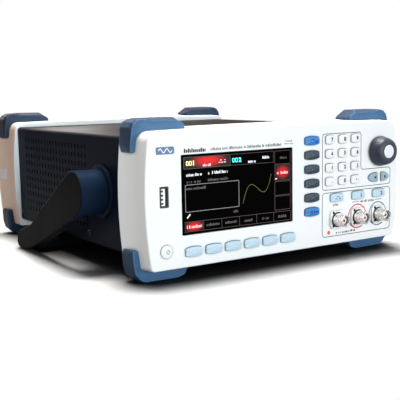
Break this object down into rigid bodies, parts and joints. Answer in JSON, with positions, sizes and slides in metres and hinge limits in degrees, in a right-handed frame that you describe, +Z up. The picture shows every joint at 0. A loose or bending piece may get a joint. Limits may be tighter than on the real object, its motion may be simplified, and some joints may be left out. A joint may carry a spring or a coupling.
{
  "type": "function generator",
  "caption": "Bench signal generator: white front and rear frames on a dark vented metal sleeve, rubber corners, colour screen, keypad, control knob, output sockets and a swinging tilt handle.",
  "frame": {"origin": "centre of the underside of the bounding box: on the ground plane under the feet, at mid-width and half-way between the foremost point (socket rims) and the rearmost point (mains rocker), 134.5 mm behind the front face", "axes": "+X to the right seen from the front, +Y from the front panel to the rear panel, +Z up"},
  "size_m": [0.277, 0.2918, 0.1149],
  "materials": {
    "frame_white": "fine moulded texture, cool white",
    "sleeve_paint": "fine-grained dark navy powder coat",
    "bumper_rubber": "soft slate-blue moulded rubber",
    "handle_black": "fine-textured black nylon",
    "key_pale_blue": "satin pale blue-grey",
    "key_bright_blue": "satin bright blue",
    "key_slate": "satin dark slate",
    "key_white": "satin white",
    "lens_black": "clear dark polished lens",
    "display_body": "pressed metal display frame",
    "board_green": "solder-masked circuit board",
    "supply_board": "circuit board with moulded parts",
    "connector_nickel": "bright nickel plate",
    "steel_plain": "plated steel",
    "inlet_black": "moulded black thermoplastic",
    "knob_charcoal": "soft-touch charcoal"
  },
  "bodies": {
    "chassis": {"front_bezel": "frame_white", "rear_bezel": "frame_white", "chassis_sleeve": "sleeve_paint", "rear_panel": "sleeve_paint", "bumper_front_top_left": "bumper_rubber", "bumper_front_top_right": "bumper_rubber", "bumper_front_bottom_left": "bumper_rubber", "bumper_front_bottom_right": "bumper_rubber", "bumper_rear_top_left": "bumper_rubber", "bumper_rear_top_right": "bumper_rubber", "bumper_rear_bottom_left": "bumper_rubber", "bumper_rear_bottom_right": "bumper_rubber", "display_window": "lens_black", "display_module": "display_body", "key_board": "board_green", "main_board": "board_green", "power_supply": "supply_board", "handle_hub_left": "handle_black", "handle_hub_right": "handle_black", "bnc_sync": "connector_nickel", "bnc_channel_1": "connector_nickel", "bnc_channel_2": "connector_nickel", "rotary_encoder": "steel_plain", "usb_port": "steel_plain", "power_inlet": "inlet_black"},
    "soft_key_1": {"soft_key_1": "key_pale_blue"},
    "soft_key_2": {"soft_key_2": "key_pale_blue"},
    "soft_key_3": {"soft_key_3": "key_pale_blue"},
    "soft_key_4": {"soft_key_4": "key_pale_blue"},
    "soft_key_5": {"soft_key_5": "key_pale_blue"},
    "soft_key_6": {"soft_key_6": "key_pale_blue"},
    "function_key_1": {"function_key_1": "key_bright_blue"},
    "function_key_2": {"function_key_2": "key_slate"},
    "function_key_3": {"function_key_3": "key_slate"},
    "function_key_4": {"function_key_4": "key_slate"},
    "function_key_5": {"function_key_5": "key_slate"},
    "function_key_6": {"function_key_6": "key_bright_blue"},
    "number_key_7": {"number_key_7": "key_white"},
    "number_key_8": {"number_key_8": "key_white"},
    "number_key_9": {"number_key_9": "key_white"},
    "number_key_4": {"number_key_4": "key_white"},
    "number_key_5": {"number_key_5": "key_white"},
    "number_key_6": {"number_key_6": "key_white"},
    "number_key_1": {"number_key_1": "key_white"},
    "number_key_2": {"number_key_2": "key_white"},
    "number_key_3": {"number_key_3": "key_white"},
    "number_key_dot": {"number_key_dot": "key_white"},
    "number_key_0": {"number_key_0": "key_white"},
    "number_key_sign": {"number_key_sign": "key_white"},
    "trigger_key": {"trigger_key": "key_pale_blue"},
    "channel_1_key": {"channel_1_key": "key_pale_blue"},
    "channel_2_key": {"channel_2_key": "key_pale_blue"},
    "arrow_key_left": {"arrow_key_left": "key_pale_blue"},
    "arrow_key_right": {"arrow_key_right": "key_pale_blue"},
    "power_button": {"power_button": "key_white"},
    "encoder_plunger": {"encoder_plunger": "inlet_black"},
    "knob": {"knob": "knob_charcoal", "encoder_shaft": "steel_plain"},
    "handle": {"handle": "handle_black"},
    "power_rocker": {"power_rocker": "inlet_black"}
  },
  "joints": [
    {"name": "handle_swing", "type": "hinge", "parent": "chassis", "child": "handle", "pos_m": [0, -0.0582, 0.059], "axis": [1, 0, 0], "range_deg": [-300, 0]},
    {"name": "knob_turn", "type": "hinge", "parent": "encoder_plunger", "child": "knob", "pos_m": [0.0984, -0.1345, 0.0815], "axis": [0, -1, 0], "continuous": true},
    {"name": "knob_push", "type": "slide", "parent": "chassis", "child": "encoder_plunger", "axis": [0, 1, 0], "range_m": [0, 0.0005], "stiffness_N_per_m": 60, "springref_m": -0.004},
    {"name": "rocker_tip", "type": "hinge", "parent": "chassis", "child": "power_rocker", "pos_m": [0.078, 0.1429, 0.0698], "axis": [0, 0, 1], "range_deg": [0, 20]},
    {"name": "power_button_press", "type": "slide", "parent": "chassis", "child": "power_button", "axis": [0, 1, 0], "range_m": [0, 0.0008], "stiffness_N_per_m": 100, "springref_m": -0.004},
    {"name": "arrow_key_left_press", "type": "slide", "parent": "chassis", "child": "arrow_key_left", "axis": [0, 1, 0], "range_m": [0, 0.0008], "stiffness_N_per_m": 100, "springref_m": -0.004},
    {"name": "function_key_1_press", "type": "slide", "parent": "chassis", "child": "function_key_1", "axis": [0, 1, 0], "range_m": [0, 0.0008], "stiffness_N_per_m": 100, "springref_m": -0.004},
    {"name": "soft_key_1_press", "type": "slide", "parent": "chassis", "child": "soft_key_1", "axis": [0, 1, 0], "range_m": [0, 0.0008], "stiffness_N_per_m": 100, "springref_m": -0.004},
    {"name": "soft_key_2_press", "type": "slide", "parent": "chassis", "child": "soft_key_2", "axis": [0, 1, 0], "range_m": [0, 0.0008], "stiffness_N_per_m": 100, "springref_m": -0.004},
    {"name": "soft_key_3_press", "type": "slide", "parent": "chassis", "child": "soft_key_3", "axis": [0, 1, 0], "range_m": [0, 0.0008], "stiffness_N_per_m": 100, "springref_m": -0.004},
    {"name": "soft_key_4_press", "type": "slide", "parent": "chassis", "child": "soft_key_4", "axis": [0, 1, 0], "range_m": [0, 0.0008], "stiffness_N_per_m": 100, "springref_m": -0.004},
    {"name": "soft_key_5_press", "type": "slide", "parent": "chassis", "child": "soft_key_5", "axis": [0, 1, 0], "range_m": [0, 0.0008], "stiffness_N_per_m": 100, "springref_m": -0.004},
    {"name": "soft_key_6_press", "type": "slide", "parent": "chassis", "child": "soft_key_6", "axis": [0, 1, 0], "range_m": [0, 0.0008], "stiffness_N_per_m": 100, "springref_m": -0.004},
    {"name": "function_key_2_press", "type": "slide", "parent": "chassis", "child": "function_key_2", "axis": [0, 1, 0], "range_m": [0, 0.0008], "stiffness_N_per_m": 100, "springref_m": -0.004},
    {"name": "function_key_3_press", "type": "slide", "parent": "chassis", "child": "function_key_3", "axis": [0, 1, 0], "range_m": [0, 0.0008], "stiffness_N_per_m": 100, "springref_m": -0.004},
    {"name": "function_key_4_press", "type": "slide", "parent": "chassis", "child": "function_key_4", "axis": [0, 1, 0], "range_m": [0, 0.0008], "stiffness_N_per_m": 100, "springref_m": -0.004},
    {"name": "function_key_5_press", "type": "slide", "parent": "chassis", "child": "function_key_5", "axis": [0, 1, 0], "range_m": [0, 0.0008], "stiffness_N_per_m": 100, "springref_m": -0.004},
    {"name": "function_key_6_press", "type": "slide", "parent": "chassis", "child": "function_key_6", "axis": [0, 1, 0], "range_m": [0, 0.0008], "stiffness_N_per_m": 100, "springref_m": -0.004},
    {"name": "number_key_7_press", "type": "slide", "parent": "chassis", "child": "number_key_7", "axis": [0, 1, 0], "range_m": [0, 0.0008], "stiffness_N_per_m": 100, "springref_m": -0.004},
    {"name": "number_key_8_press", "type": "slide", "parent": "chassis", "child": "number_key_8", "axis": [0, 1, 0], "range_m": [0, 0.0008], "stiffness_N_per_m": 100, "springref_m": -0.004},
    {"name": "number_key_9_press", "type": "slide", "parent": "chassis", "child": "number_key_9", "axis": [0, 1, 0], "range_m": [0, 0.0008], "stiffness_N_per_m": 100, "springref_m": -0.004},
    {"name": "number_key_4_press", "type": "slide", "parent": "chassis", "child": "number_key_4", "axis": [0, 1, 0], "range_m": [0, 0.0008], "stiffness_N_per_m": 100, "springref_m": -0.004},
    {"name": "number_key_5_press", "type": "slide", "parent": "chassis", "child": "number_key_5", "axis": [0, 1, 0], "range_m": [0, 0.0008], "stiffness_N_per_m": 100, "springref_m": -0.004},
    {"name": "number_key_6_press", "type": "slide", "parent": "chassis", "child": "number_key_6", "axis": [0, 1, 0], "range_m": [0, 0.0008], "stiffness_N_per_m": 100, "springref_m": -0.004},
    {"name": "number_key_1_press", "type": "slide", "parent": "chassis", "child": "number_key_1", "axis": [0, 1, 0], "range_m": [0, 0.0008], "stiffness_N_per_m": 100, "springref_m": -0.004},
    {"name": "number_key_2_press", "type": "slide", "parent": "chassis", "child": "number_key_2", "axis": [0, 1, 0], "range_m": [0, 0.0008], "stiffness_N_per_m": 100, "springref_m": -0.004},
    {"name": "number_key_3_press", "type": "slide", "parent": "chassis", "child": "number_key_3", "axis": [0, 1, 0], "range_m": [0, 0.0008], "stiffness_N_per_m": 100, "springref_m": -0.004},
    {"name": "number_key_dot_press", "type": "slide", "parent": "chassis", "child": "number_key_dot", "axis": [0, 1, 0], "range_m": [0, 0.0008], "stiffness_N_per_m": 100, "springref_m": -0.004},
    {"name": "number_key_0_press", "type": "slide", "parent": "chassis", "child": "number_key_0", "axis": [0, 1, 0], "range_m": [0, 0.0008], "stiffness_N_per_m": 100, "springref_m": -0.004},
    {"name": "number_key_sign_press", "type": "slide", "parent": "chassis", "child": "number_key_sign", "axis": [0, 1, 0], "range_m": [0, 0.0008], "stiffness_N_per_m": 100, "springref_m": -0.004},
    {"name": "trigger_key_press", "type": "slide", "parent": "chassis", "child": "trigger_key", "axis": [0, 1, 0], "range_m": [0, 0.0008], "stiffness_N_per_m": 100, "springref_m": -0.004},
    {"name": "channel_1_key_press", "type": "slide", "parent": "chassis", "child": "channel_1_key", "axis": [0, 1, 0], "range_m": [0, 0.0008], "stiffness_N_per_m": 100, "springref_m": -0.004},
    {"name": "channel_2_key_press", "type": "slide", "parent": "chassis", "child": "channel_2_key", "axis": [0, 1, 0], "range_m": [0, 0.0008], "stiffness_N_per_m": 100, "springref_m": -0.004},
    {"name": "arrow_key_right_press", "type": "slide", "parent": "chassis", "child": "arrow_key_right", "axis": [0, 1, 0], "range_m": [0, 0.0008], "stiffness_N_per_m": 100, "springref_m": -0.004}
  ]
}
